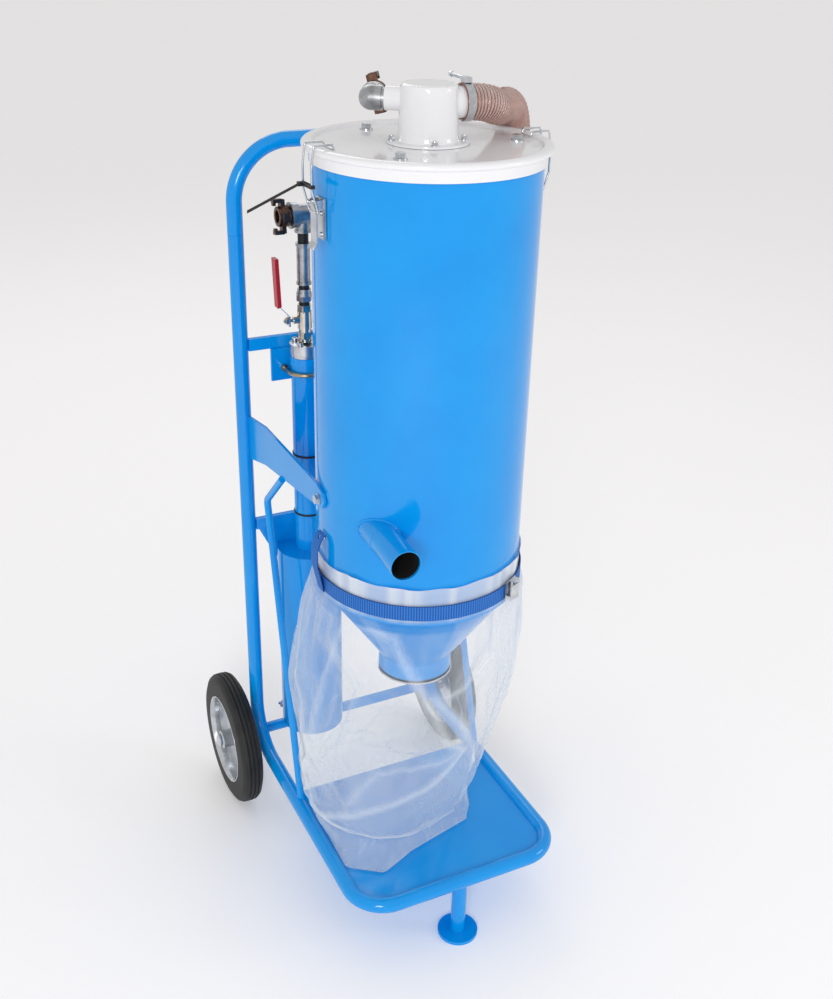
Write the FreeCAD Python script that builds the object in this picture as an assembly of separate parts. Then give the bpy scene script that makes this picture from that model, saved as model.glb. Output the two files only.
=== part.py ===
import FreeCAD, Part
import math
import os

os.makedirs("parts", exist_ok=True)

# Trolley dust collector driven by compressed air. Millimetres, +Z up, -Y is the front.
# The pieces are modelled round the drum's axis, with X = Y = 0 on that axis and Z = 0 on
# the ground. On export each one is shifted so that the origin is the middle of the footprint.

# Driving dimensions
DRUM_R = 160.0
DRUM_WALL = 1.5
DRUM_BOTTOM_Z = 607.0
DRUM_TOP_Z = 1274.0
LID_Z = 1280.0
LID_PLATE = 2.0
LID_BEAD_R = 172.4
FRAME_TUBE_R = 12.5
FRAME_WALL = 2.0
UPRIGHT_X = 181.0
UPRIGHT_Y = 300.0
HANDLE_Z = 1239.6
HANDLE_BEND_R = 92.0
BASE_Z = 127.5
BASE_FRONT_Y = -203.0
BASE_BEND_R = 80.0
BASE_CORNER_R = 60.0
WHEEL_R = 125.0
WHEEL_Y = 317.5
AXLE_R = 10.0
AXLE_END_X = 252.0
COLUMN_X = -83.0
COLUMN_Y = 262.0
VALVE_Z = 962.0
INLET_MOUTH = (-121.5, -207.0, 755.5)
INLET_OUT = (-0.052336, -0.99863, 0.0)
INLET_R = 23.5
LATCH_ANGLES = {"left": 184.0, "right": -4.0}
HOSE_R = 24.5
HOSE_BORE_R = 21.6
STUB_R = 21.0
HOSE_STUB_ANGLE = -5.0
HOSE_STUB_Z = 1331.0
PURGE_STUB_ANGLE = 145.0
PURGE_STUB_Z = 1335.0
BAG_GAP = 0.4

FOOTPRINT_SHIFT = FreeCAD.Vector(0, -109.75, 0)
UP = FreeCAD.Vector(0, 0, 1)


def vec(x, y, z):
    return FreeCAD.Vector(x, y, z)


def save(node, *solids):
    shape = solids[0].copy() if len(solids) == 1 else Part.makeCompound([s.copy() for s in solids])
    shape.translate(FOOTPRINT_SHIFT)
    shape.exportStep("parts/" + node + ".step")


def bar(radius, start, end, hole=0.0):
    """A straight round bar, or a tube where hole is its bore radius."""
    direction = end.sub(start)
    solid = Part.makeCylinder(radius, direction.Length, start, direction)
    if hole:
        solid = solid.cut(Part.makeCylinder(hole, direction.Length, start, direction))
    return solid


def upright_bar(radius, x, y, z_low, z_high, hole=0.0):
    return bar(radius, vec(x, y, z_low), vec(x, y, z_high), hole)


def ring(r_in, r_out, z_low, z_high):
    return upright_bar(r_out, 0, 0, z_low, z_high, r_in)


def block(x0, x1, y0, y1, z0, z1):
    return Part.makeBox(x1 - x0, y1 - y0, z1 - z0, vec(x0, y0, z0))


def turned(profile):
    """A closed outline of (radius, z) points turned about the Z axis."""
    points = [vec(r, 0, z) for r, z in profile]
    face = Part.Face(Part.makePolygon(points + [points[0]]))
    return face.revolve(vec(0, 0, 0), UP, 360)


def plate(points, thickness_vector):
    face = Part.Face(Part.makePolygon(points + [points[0]]))
    return face.extrude(thickness_vector)


def hexagon(across_flats, height, centre, direction):
    corner = across_flats / math.sqrt(3)
    points = [vec(corner * math.cos(math.radians(60 * i)), corner * math.sin(math.radians(60 * i)), 0)
              for i in range(6)]
    solid = plate(points, vec(0, 0, height))
    solid.Placement = FreeCAD.Placement(centre, FreeCAD.Rotation(UP, direction))
    return solid


def turn(shape, angle):
    """A copy of the shape turned about the drum's axis."""
    return shape.copy().rotate(vec(0, 0, 0), UP, angle)


def mirrored(shape):
    """The same piece on the other side of the machine."""
    return shape.mirror(vec(0, 0, 0), vec(1, 0, 0))


def route_wire(points, bend_radius=None):
    """Straight runs joined by tangent arcs. Without a bend radius each arc is as large as fits."""
    edges = []
    radii = []
    here = points[0]
    for before, corner, after in zip(points, points[1:], points[2:]):
        toward = before.sub(corner).normalize()
        away = after.sub(corner).normalize()
        half_turn = (math.pi - toward.getAngle(away)) / 2
        shorter = min(before.distanceToPoint(corner), corner.distanceToPoint(after))
        radius = bend_radius or 0.45 * shorter / math.tan(half_turn)
        cut_back = radius * math.tan(half_turn)
        arc_start = corner + toward * cut_back
        arc_end = corner + away * cut_back
        bisector = (toward + away).normalize()
        middle = corner + bisector * (radius / math.cos(half_turn) - radius)
        edges.append(Part.LineSegment(here, arc_start).toShape())
        edges.append(Part.Arc(arc_start, middle, arc_end).toShape())
        here = arc_end
        radii.append(radius)
    edges.append(Part.LineSegment(here, points[-1]).toShape())
    return Part.Wire(edges), radii


def bent_bar(points, radius, bend_radius=None, hole=0.0):
    """A round bar or tube bent along a route."""
    wire = route_wire(points, bend_radius)[0]
    solids = []
    for r in [radius] + ([hole] if hole else []):
        circle = Part.Wire(Part.Circle(points[0], points[1].sub(points[0]), r).toShape())
        solids.append(wire.makePipeShell([circle], True, False))
    return solids[0].cut(solids[1]) if hole else solids[0]


# ---------------------------------------------------------------- trolley frame

def make_frame():
    bore = FRAME_TUBE_R - FRAME_WALL
    x = UPRIGHT_X
    hoop_start_z = 1100.0
    bend_top_z = BASE_Z + BASE_BEND_R
    bend_front_y = UPRIGHT_Y - BASE_BEND_R
    hoop = [vec(-x, UPRIGHT_Y, hoop_start_z), vec(-x, UPRIGHT_Y, HANDLE_Z),
            vec(x, UPRIGHT_Y, HANDLE_Z), vec(x, UPRIGHT_Y, hoop_start_z)]
    save("handle_hoop", bent_bar(hoop, FRAME_TUBE_R, HANDLE_BEND_R, bore))
    uprights = [upright_bar(FRAME_TUBE_R, side * x, UPRIGHT_Y, bend_top_z, hoop_start_z, bore)
                for side in (-1, 1)]
    save("uprights", *uprights)

    bends = []
    solid_bends = []
    for side in (-1, 1):
        circle = Part.Wire(Part.Circle(vec(side * x, UPRIGHT_Y, bend_top_z), UP, FRAME_TUBE_R).toShape())
        hole = Part.Wire(Part.Circle(vec(side * x, UPRIGHT_Y, bend_top_z), UP, bore).toShape())
        pivot = vec(side * x, bend_front_y, bend_top_z)
        outer = Part.Face(circle).revolve(pivot, vec(1, 0, 0), -90)
        inner = Part.Face(hole).revolve(pivot, vec(1, 0, 0), -90)
        solid_bends.append(outer)
        bends.append(outer.cut(inner))
    save("base_bends", *bends)

    loop = [vec(-x, bend_front_y, BASE_Z), vec(-x, BASE_FRONT_Y, BASE_Z),
            vec(x, BASE_FRONT_Y, BASE_Z), vec(x, bend_front_y, BASE_Z)]
    solid_loop = bent_bar(loop, FRAME_TUBE_R, BASE_CORNER_R)
    save("base_hoop", bent_bar(loop, FRAME_TUBE_R, BASE_CORNER_R, bore))

    # The tray sits inside the loop, welded to the tube's inner side, with its rear edge
    # turned down as a stiffener.
    tray_rear_y = 112.0
    tray_top_z = 129.0
    tray_plate = 2.0
    tray = block(-x, x, BASE_FRONT_Y, tray_rear_y, tray_top_z - tray_plate, tray_top_z)
    tray = tray.fuse(block(-x + 14, x - 14, tray_rear_y - tray_plate, tray_rear_y,
                           tray_top_z - 20, tray_top_z)).removeSplitter()
    corners = solid_loop
    for side in (-1, 1):
        cx = side * (x - BASE_CORNER_R)
        cy = BASE_FRONT_Y + BASE_CORNER_R
        outside = block(min(cx, side * (x + 20)), max(cx, side * (x + 20)), BASE_FRONT_Y - 20, cy, 90, 160)
        corners = corners.fuse(outside.cut(upright_bar(BASE_CORNER_R, cx, cy, 80, 170)))
    save("tray", tray.cut(corners))

    # One round foot under the middle of the front tube.
    foot_y = -189.0
    foot_disc_h = 6.0
    stem = upright_bar(FRAME_TUBE_R, 0, foot_y, foot_disc_h, tray_top_z - tray_plate).cut(solid_loop)
    foot = stem.fuse(upright_bar(34.0, 0, foot_y, 0, foot_disc_h)).removeSplitter()
    save("front_foot", foot)

    # Two flat cross rails between the uprights.
    rail_end = x - FRAME_TUBE_R
    rails = [block(-rail_end - 1, rail_end + 1, 291, 301, z - 10, z + 10) for z in (918.0, 588.0)]
    tubes = [upright_bar(FRAME_TUBE_R, side * x, UPRIGHT_Y, 500, 1000) for side in (-1, 1)]
    save("cross_rails", *[rail.cut(tubes[0]).cut(tubes[1]) for rail in rails])

    # Axle, and the plates that hold it behind the lower bends.
    save("axle", bar(AXLE_R, vec(-AXLE_END_X, WHEEL_Y, WHEEL_R), vec(AXLE_END_X, WHEEL_Y, WHEEL_R)))
    axle_plates = []
    for side, bend in zip((-1, 1), solid_bends):
        outline = [vec(side * x - 4, y, z) for y, z in
                   ((292, 196), (334, 142), (334, 106), (300, 106), (250, 130), (262, 160))]
        solid = plate(outline, vec(8, 0, 0)).cut(bend)
        axle_plates.append(solid.cut(bar(AXLE_R, vec(-300, WHEEL_Y, WHEEL_R), vec(300, WHEEL_Y, WHEEL_R))))
    axle_plates = [max(p.Solids, key=lambda s: s.Volume) for p in axle_plates]

    # Clamp plate under the upper rail, for the U-bolt round the ejector, and the tapered
    # plate under the middle rail that carries the silencer.
    half = 50.0
    clamp_plate = block(COLUMN_X - half, COLUMN_X + half, 288, 293, 852, 908)
    for side in (-1, 1):
        clamp_plate = clamp_plate.cut(bar(4.0, vec(COLUMN_X + side * 28.5, 280, 874),
                                          vec(COLUMN_X + side * 28.5, 300, 874)))
    can = upright_bar(57.0, COLUMN_X, COLUMN_Y, 168, 545)
    silencer_plate = plate([vec(-165, 294, 578), vec(-8, 294, 578), vec(-30, 294, 515), vec(-134, 294, 515)],
                           vec(0, 4, 0)).cut(can)
    silencer_plate = max(silencer_plate.Solids, key=lambda s: s.Volume)
    save("frame_plates", axle_plates[0], axle_plates[1], clamp_plate, silencer_plate)

    # Support arms: flat plates from the uprights forward to the drum's sides, slightly folded.
    arm_thick = 5.0
    back = plate([vec(-177.5, 287.7, 796), vec(-177.5, 287.7, 719), vec(-168, 235, 727), vec(-168, 235, 796)],
                 vec(arm_thick, 0, 0))
    front_outline = ((235, 796), (235, 727), (8, 756), (-8, 760), (-16, 773), (-10, 785), (14, 792))
    front = plate([vec(-168 + (235 - y) * 0.0108, y, z) for y, z in front_outline], vec(arm_thick, 0, 0))
    arm = back.fuse(front).removeSplitter()
    arm = arm.cut(upright_bar(FRAME_TUBE_R, -x, UPRIGHT_Y, 600, 900))
    arm = arm.cut(bar(4.3, vec(-200, 3, 771), vec(-150, 3, 771)))
    arm = arm.cut(upright_bar(DRUM_R + 0.05, 0, 0, 600, 900))
    save("support_arms", arm, mirrored(arm))

    # Bent round bars that brace the arms from the base tube.
    brace = bent_bar([vec(-167, 158, 735), vec(-168.5, 232, 664), vec(-176.5, 85, 136)], 6.0, 14.0)
    brace = brace.cut(solid_loop).cut(arm)
    brace = max(brace.Solids, key=lambda s: s.Volume)
    save("brace_rods", brace, mirrored(brace))


# ---------------------------------------------------------------- wheels

def make_wheels():
    inner_x = 205.0
    width = 40.0
    mid_x = inner_x + width / 2
    for side_name, side in (("left", -1), ("right", 1)):
        centre = vec(side * mid_x, WHEEL_Y, WHEEL_R)

        def place(shape):
            shape.rotate(vec(0, 0, 0), vec(0, 1, 0), 90 * side)
            shape.translate(centre)
            return shape

        # Solid rubber tyre with a crowned tread and three grooves.
        tread = [(84.2, -20), (112, -20), (121, -15.5), (124.2, -10)]
        groove_at = (-7.5, 0.0, 7.5)
        for at in groove_at:
            r_side = WHEEL_R - 0.4 if at else WHEEL_R
            tread += [(r_side, at - 1.6), (r_side - 2.5, at - 0.9), (r_side - 2.5, at + 0.9), (r_side, at + 1.6)]
        tread += [(124.2, 10), (121, 15.5), (112, 20), (84.2, 20), (80.5, 12), (80.5, -12)]
        tyre = turned(tread)
        save("tyre_" + side_name, place(tyre))

        # Pressed steel rim: flanged ring, dished disc and hub tube.
        rim_profile = [(83.5, 20.6), (83.5, 19.4), (79.9, 11), (79.9, -11), (83.5, -19.4), (83.5, -20.6),
                       (81.6, -20.6), (78, -12.2), (78, -2), (40, 6), (22, 8), (17, 8), (17, -24),
                       (14.5, -24), (14.5, 24), (17, 24), (17, 10.2), (22.5, 10.2), (40.5, 8.2),
                       (78, 0.4), (78, 12.2), (81.6, 20.6)]
        rim = turned([(r, -z * 1.0) for r, z in rim_profile])
        save("rim_" + side_name, place(rim))

        bush = turned([(AXLE_R + 0.06, -25), (14.45, -25), (14.45, 25), (AXLE_R + 0.06, 25)])
        save("bush_" + side_name, place(bush))
    caps = []
    for side in (-1, 1):
        cap = turned([(0, 0), (13, 0), (13, 3.0), (9, 5.5), (0, 6.5)])
        cap.rotate(vec(0, 0, 0), vec(0, 1, 0), 90 * side)
        cap.translate(vec(side * AXLE_END_X, WHEEL_Y, WHEEL_R))
        washer_at = side * 199.0
        washer = bar(16.0, vec(washer_at - 0.7, WHEEL_Y, WHEEL_R), vec(washer_at + 0.7, WHEEL_Y, WHEEL_R),
                     AXLE_R + 0.05)
        caps += [cap, washer]
    save("axle_caps", *caps)


# ---------------------------------------------------------------- drum and hopper

def make_drum():
    bead_r = 4.3
    shell = ring(DRUM_R - DRUM_WALL, DRUM_R, DRUM_BOTTOM_Z, DRUM_TOP_Z)
    bead = Part.makeTorus(DRUM_R + 4.3, bead_r, vec(0, 0, DRUM_BOTTOM_Z))
    bead = bead.cut(upright_bar(DRUM_R - 0.2, 0, 0, DRUM_BOTTOM_Z - 20, DRUM_BOTTOM_Z + 20))
    shell = shell.fuse(bead).removeSplitter()
    mouth, out = vec(*INLET_MOUTH), vec(*INLET_OUT)
    inlet_hole = bar(INLET_R, mouth, mouth - out * 187)
    shell = shell.cut(inlet_hole)
    for side in (-1, 1):
        shell = shell.cut(bar(4.3, vec(side * 170, 3, 771), vec(side * 150, 3, 771)))
    shell = max(shell.Solids, key=lambda s: s.Volume)
    save("drum_shell", shell)

    # The suction inlet enters to the left of the axis, so that the air spins round the drum.
    inlet = bar(INLET_R, mouth, mouth - out * 187, INLET_R - 1.8)
    deep_inside = upright_bar(DRUM_R - 12, 0, 0, mouth.z - 40, mouth.z + 40)
    inlet = inlet.cut(deep_inside)
    wall = ring(DRUM_R - DRUM_WALL, DRUM_R, mouth.z - 40, mouth.z + 40)
    inlet = inlet.cut(wall.cut(inlet_hole))
    inlet = inlet.cut(bar(30.0, mouth + out, mouth - out * 76, INLET_R - 0.5))
    inlet = max(inlet.Solids, key=lambda s: s.Volume)
    save("inlet_tube", inlet)

    outlet_r = 60.0
    cone_low_z = 465.0
    cone = turned([(158.4, 613), (158.4, 608), (outlet_r, cone_low_z), (outlet_r - 1.5, cone_low_z),
                   (outlet_r - 1.5, cone_low_z + 2.2), (156.9, 610), (156.9, 613)])
    save("hopper_cone", cone)

    # Short outlet pipe with two hinge lugs at the back.
    collar_low_z = 437.0
    hinge_y, hinge_z = 68.0, 434.0
    collar = ring(outlet_r - 1.5, outlet_r, collar_low_z, cone_low_z)
    for x in (-15, 12):
        lug = block(x, x + 3, 50, hinge_y, hinge_z - 4, hinge_z + 12)
        lug = lug.fuse(bar(5.0, vec(x, hinge_y, hinge_z), vec(x + 3, hinge_y, hinge_z)))
        lug = lug.cut(bar(3.0, vec(x - 1, hinge_y, hinge_z), vec(x + 4, hinge_y, hinge_z)))
        lug = lug.cut(upright_bar(outlet_r - 1.5, 0, 0, 400, 500))
        lug = lug.cut(block(x - 1, x + 4, 40, 66.0, 400, collar_low_z))
        collar = collar.fuse(lug)
    save("outlet_collar", collar.removeSplitter())

    # Flap that the vacuum holds shut and that its counterweight balances when the air is off.
    flap = upright_bar(62.0, 0, 0, 431.0, 434.0)
    flap = flap.fuse(block(-10, 10, 40, hinge_y, 431.0, 434.0))
    flap = flap.fuse(bar(5.5, vec(-10.5, hinge_y, hinge_z), vec(10.5, hinge_y, hinge_z)))
    flap = flap.fuse(block(-4, 4, hinge_y, hinge_y + 38, 431.5, 436.5))
    flap = flap.fuse(bar(10.0, vec(-20, hinge_y + 38, hinge_z), vec(20, hinge_y + 38, hinge_z)))
    flap = flap.cut(bar(3.05, vec(-30, hinge_y, hinge_z), vec(30, hinge_y, hinge_z)))
    save("discharge_flap", flap.removeSplitter())
    save("flap_pin", bar(3.0, vec(-17, hinge_y, hinge_z), vec(17, hinge_y, hinge_z)))


# ---------------------------------------------------------------- lid, filter and turret

BOLT_CIRCLE_R = 126.3
BOLT_ANGLES = (-12.6, 107.4, 227.4)
TURRET_NUT_R = 50.0
TURRET_NUT_ANGLES = (73.4, 163.4, 253.4, 343.4)


def at_angle(radius, angle, z):
    return vec(radius * math.cos(math.radians(angle)), radius * math.sin(math.radians(angle)), z)


def make_lid():
    low = LID_Z - LID_PLATE
    profile = [(30, LID_Z), (154, LID_Z), (157, LID_Z + 3.4), (160, LID_Z + 4.4), (166, LID_Z + 4.4),
               (169.8, LID_Z + 3.2), (171.9, LID_Z + 1), (LID_BEAD_R, LID_Z - 1.5), (171.4, LID_Z - 4),
               (169.5, LID_Z - 5.6), (166, LID_Z - 6), (163.5, LID_Z - 6), (163.5, 1258.5),
               (161.7, 1258.5), (161.7, low), (30, low)]
    lid = turned(profile)
    for angle in BOLT_ANGLES:
        spot = at_angle(BOLT_CIRCLE_R, angle, 0)
        lid = lid.cut(upright_bar(4.3, spot.x, spot.y, 1260, 1300))
    for angle in TURRET_NUT_ANGLES:
        spot = at_angle(TURRET_NUT_R, angle, 0)
        lid = lid.cut(upright_bar(2.8, spot.x, spot.y, 1260, 1300))
    save("lid", lid)

    # Pleated cartridge: folded medium between a top ring and a bottom cap.
    pleats = 48
    top_z, bottom_z = 1269.5, 880.0

    def zigzag(r_tip, r_root):
        return [at_angle(r_tip if i % 2 else r_root, 180.0 * i / pleats, bottom_z) for i in range(2 * pleats)]

    medium = plate(zigzag(108, 86), vec(0, 0, top_z - bottom_z))
    medium = medium.cut(plate(zigzag(104, 82), vec(0, 0, top_z - bottom_z)))
    save("filter_medium", medium)
    top_ring = ring(60, 140, top_z, top_z + 2.5)
    for angle in BOLT_ANGLES:
        spot = at_angle(BOLT_CIRCLE_R, angle, 0)
        top_ring = top_ring.cut(upright_bar(4.3, spot.x, spot.y, 1260, 1300))
    save("filter_plates", top_ring, upright_bar(111, 0, 0, bottom_z - 2.5, bottom_z))

    fasteners = []
    for angle in BOLT_ANGLES:
        spot = at_angle(BOLT_CIRCLE_R, angle, LID_Z)
        washer = upright_bar(9.5, spot.x, spot.y, LID_Z, LID_Z + 1.8)
        head = hexagon(13, 6.5, vec(spot.x, spot.y, LID_Z + 1.8), UP)
        shank = upright_bar(4.0, spot.x, spot.y, 1258, LID_Z)
        nut = hexagon(13, 6.5, vec(spot.x, spot.y, 1263), UP)
        fasteners.append(washer.fuse([head, shank, nut]).removeSplitter())
    save("filter_bolts", *fasteners)


def make_turret():
    flange_low = LID_Z + 0.5
    flange_high = flange_low + 3.0
    cap_top = 1357.0
    body = turned([(0, flange_low), (57, flange_low), (57, flange_high), (43, flange_high),
                   (41.5, flange_high + 2.5), (39.4, cap_top - 5), (38.2, cap_top - 1.8),
                   (34.5, cap_top), (0, cap_top)])
    hollow = turned([(0, flange_low - 1), (39.5, flange_low - 1), (37.4, cap_top - 5), (34, cap_top - 2),
                     (0, cap_top - 2)])
    stubs = ((HOSE_STUB_ANGLE, HOSE_STUB_Z, STUB_R, 19.0, 60.0),
             (PURGE_STUB_ANGLE, PURGE_STUB_Z, 15.8, 13.0, 59.0))
    for angle, z, radius, bore, reach in stubs:
        tip = at_angle(reach, angle, z)
        body = body.fuse(bar(radius, vec(0, 0, z), tip))
        hollow = hollow.fuse(bar(bore, vec(0, 0, z), tip))
    body = body.cut(hollow)
    for angle in TURRET_NUT_ANGLES:
        spot = at_angle(TURRET_NUT_R, angle, 0)
        body = body.cut(upright_bar(2.8, spot.x, spot.y, 1270, 1300))
    save("turret", body.removeSplitter())

    nuts = []
    for angle in TURRET_NUT_ANGLES:
        spot = at_angle(TURRET_NUT_R, angle, 0)
        stud = upright_bar(2.5, spot.x, spot.y, LID_Z - 6, flange_high + 6.5)
        washer = upright_bar(5.2, spot.x, spot.y, flange_high, flange_high + 1)
        nut = hexagon(8, 4.5, vec(spot.x, spot.y, flange_high + 1), UP)
        nuts.append(stud.fuse([washer, nut]).removeSplitter())
    save("turret_nuts", *nuts)

    # Purge connection: elbow and claw coupling, for blowing the filter clean.
    start = at_angle(59.2, PURGE_STUB_ANGLE, PURGE_STUB_Z)
    corner = at_angle(79, PURGE_STUB_ANGLE, PURGE_STUB_Z)
    out_angle = PURGE_STUB_ANGLE - 90
    out_dir = at_angle(1, out_angle, 0)
    mouth = corner + out_dir * 19
    thread = bar(13.2, start, start + (corner - start).normalize() * 4, 10.0)
    leg = bar(16.5, start + (corner - start).normalize() * 4, corner)
    outlet = bar(16.5, corner, mouth)
    elbow = leg.fuse([outlet, Part.makeSphere(16.5, corner), bar(18.0, mouth, mouth + out_dir * 4)])
    elbow = elbow.cut(bar(11.0, start, corner)).cut(bar(11.0, corner, mouth + out_dir * 4))
    save("purge_elbow", elbow.fuse(thread).removeSplitter())
    save("purge_coupling", claw_coupling(mouth + out_dir * 4.0, out_dir, 40.0))


def claw_coupling(base, direction, lug_turn):
    """Brass claw coupling: hexagon, flange, seal seat and two hooked claws."""
    body = bar(13.5, vec(0, 0, 0), vec(0, 0, 6))
    body = body.fuse([hexagon(29, 7, vec(0, 0, 1.5), UP), bar(17.5, vec(0, 0, 8), vec(0, 0, 15)),
                      bar(15.5, vec(0, 0, 15), vec(0, 0, 20))])
    for side in (-1, 1):
        web = block(side * 20 - 6, side * 20 + 6, -7, 7, 8, 15)
        claw = block(side * 24 - 3, side * 24 + 3, -8, 5, 12, 27)
        hook = block(side * 21 - 4, side * 21 + 4, -8, 0, 23, 28)
        body = body.fuse([web, claw, hook])
    body = body.cut(bar(9.5, vec(0, 0, -1), vec(0, 0, 30)))
    body = body.removeSplitter()
    body.rotate(vec(0, 0, 0), UP, lug_turn)
    body.Placement = FreeCAD.Placement(base, FreeCAD.Rotation(UP, direction)).multiply(body.Placement)
    return body


def make_seals():
    """All plain rubber seals: lid, filter and turret gaskets, and the two rings on the ejector."""
    lid_gasket = ring(156.6, 161.2, DRUM_TOP_Z, LID_Z - LID_PLATE)
    filter_gasket = ring(60, 78, 1272.0, LID_Z - LID_PLATE)
    turret_gasket = ring(40, 55, LID_Z, LID_Z + 0.5)
    for angle in TURRET_NUT_ANGLES:
        spot = at_angle(TURRET_NUT_R, angle, 0)
        turret_gasket = turret_gasket.cut(upright_bar(2.8, spot.x, spot.y, 1270, 1300))
    bands = [upright_bar(25.6, COLUMN_X, COLUMN_Y, z - 1.6, z + 1.6, 24.2) for z in (725.0, 614.0)]
    save("seals", lid_gasket, filter_gasket, turret_gasket, *bands)


# ---------------------------------------------------------------- lid latches

LATCH_PIVOT = (172.0, 1213.0)
BAIL_PIVOT = (172.0, 1203.0)


def make_latches():
    pr, pz = LATCH_PIVOT
    br, bz = BAIL_PIVOT
    bases = []
    for side_name, angle in LATCH_ANGLES.items():
        base = block(DRUM_R + 0.6, DRUM_R + 2.6, -13, 13, 1166, 1221)
        for y in (-10.6, 8.6):
            ear = block(DRUM_R + 2.6, pr, y, y + 2, pz - 6, pz + 6)
            base = base.fuse(ear.fuse(bar(6, vec(pr, y, pz), vec(pr, y + 2, pz))))
        base = base.fuse(bar(2.0, vec(pr, -11.6, pz), vec(pr, 11.6, pz)))
        for z in (1172, 1200):
            base = base.fuse(bar(3.2, vec(DRUM_R + 2.6, 0, z), vec(DRUM_R + 4.4, 0, z)))
        bases.append(turn(base.removeSplitter(), angle))

        lever = block(pr - 1.5, pr + 1.5, -8, 8, 1161, pz)
        lever = lever.fuse([bar(4.0, vec(pr, -8, pz), vec(pr, 8, pz)), bar(3.2, vec(br, -8, bz), vec(br, 8, bz)),
                            plate([vec(pr - 1.5, -8, 1161.5), vec(pr + 1.5, -8, 1163), vec(pr + 7, -8, 1155),
                                   vec(pr + 4.6, -8, 1153.4)], vec(0, 16, 0))])
        lever = lever.cut(bar(2.06, vec(pr, -20, pz), vec(pr, 20, pz)))
        lever = lever.cut(bar(1.56, vec(br, -20, bz), vec(br, 20, bz)))
        save("latch_lever_" + side_name, turn(lever.removeSplitter(), angle))

        halves = []
        for side in (-1, 1):
            y = side * 13.5
            route = [vec(br, side * 1.5, bz), vec(br, y, bz), vec(181, y, 1233), vec(181, y, 1262),
                     vec(177.5, y, 1289.5), vec(150.5, y, 1289.5), vec(148.6, y, 1283.0), vec(148.6, 0, 1283.0)]
            halves.append(bent_bar(route, 1.5, 2.4))
        bail = halves[0].fuse(halves[1]).removeSplitter()
        save("bail_" + side_name, turn(bail, angle))
    save("latch_bases", *bases)

    # Cable tie looped round the left bail, with its free tail.
    loop = block(177.9, 184.1, -17, 17, 1236, 1240.6).cut(block(179.3, 182.7, -15.6, 15.6, 1230, 1250))
    loop = loop.fuse(block(183.6, 189.2, -15.5, -9, 1235.4, 1241.2))
    tail = plate([vec(187.0, -13.2, 1236.2), vec(187.0, -13.2, 1240.4), vec(262.0, -13.2, 1197.4),
                  vec(262.0, -13.2, 1193.0)], vec(0, 1.3, 0))
    tail.rotate(vec(188.5, -12.5, 1238), UP, -46)
    tie = loop.fuse(tail).removeSplitter()
    save("cable_tie", turn(tie, LATCH_ANGLES["left"]))


# ---------------------------------------------------------------- bag, belt and buckle

STRAP_IN_R = 163.0
STRAP_OUT_R = 165.0
BUCKLE_ANGLE = -57.0
LOOP_ANGLES = (181.0, -1.0)


def oval(cx, cy, rx, ry, z):
    return Part.Wire(Part.Ellipse(vec(cx, cy, z), rx, ry).toShape())


def bag_shell(inset, low_z):
    """The hanging part of the bag, slumped to the left and resting on the tray."""
    sections = [(0, 0, 173, 172.5, 602.5), (-5, 7, 172, 170, 545), (-15, 18, 180, 168, 470),
                (-18, 15, 172, 158, 370), (-18, 5, 158, 140, 250), (-20, -5, 148, 122, 165),
                (-20, -5, 142, 115, low_z)]
    wires = [oval(cx, cy, rx - inset, ry - inset, z) for cx, cy, rx, ry, z in sections]
    return Part.makeLoft(wires, True, True)


def make_bag():
    thick = 2.2
    shell = bag_shell(0, 131.0).cut(bag_shell(thick, 131.0 + thick))
    skirt_r = DRUM_R + BAG_GAP
    neck = turned([(skirt_r, 665), (162.6, 665), (162.6, 618), (172.8, 611.0), (172.8, 602.9),
                   (169.4, 602.9), (169.4, 609.5), (skirt_r, 616)])
    save("bag", shell, neck)

    strap = ring(STRAP_IN_R, STRAP_OUT_R, 619, 643)
    save("strap", strap)

    loops = []
    outline = [(165.4, 618), (167.4, 618), (171, 636), (177.5, 664), (177, 692), (171, 708), (166, 715),
               (162, 716), (162, 714), (165, 713), (169.3, 706.6), (175, 691.4), (175.5, 664.4), (169, 636.6)]
    for angle in LOOP_ANGLES:
        loop = plate([vec(r, -11, z) for r, z in outline], vec(0, 22, 0))
        loops.append(turn(loop.cut(bar(3.05, vec(150, 0, 711), vec(175, 0, 711))), angle))
    save("strap_loops", *loops)

    frame = block(165.5, 167.0, -15, 15, 617, 647)
    for z in (617, 645):
        cheek = block(167.0, 176, -3, 12, z, z + 2)
        frame = frame.fuse(cheek.fuse(upright_bar(4.5, 174, 5, z, z + 2)))
    frame = frame.fuse(upright_bar(2.0, 174, 5, 618, 646))
    save("buckle_frame", turn(frame.removeSplitter(), BUCKLE_ANGLE))
    lever = upright_bar(5.0, 174, 5, 619.5, 644.5)
    lever = lever.fuse(plate([vec(176, 6, 620), vec(178.6, 3, 620), vec(176.5, -16, 620), vec(174.5, -16, 620)],
                             vec(0, 0, 24)))
    lever = lever.cut(upright_bar(2.06, 174, 5, 600, 660))
    save("buckle_lever", turn(lever.removeSplitter(), BUCKLE_ANGLE))


# ---------------------------------------------------------------- air line, valve and ejector

def column_part(radius, z_low, z_high, hole=0.0):
    return upright_bar(radius, COLUMN_X, COLUMN_Y, z_low, z_high, hole)


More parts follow.
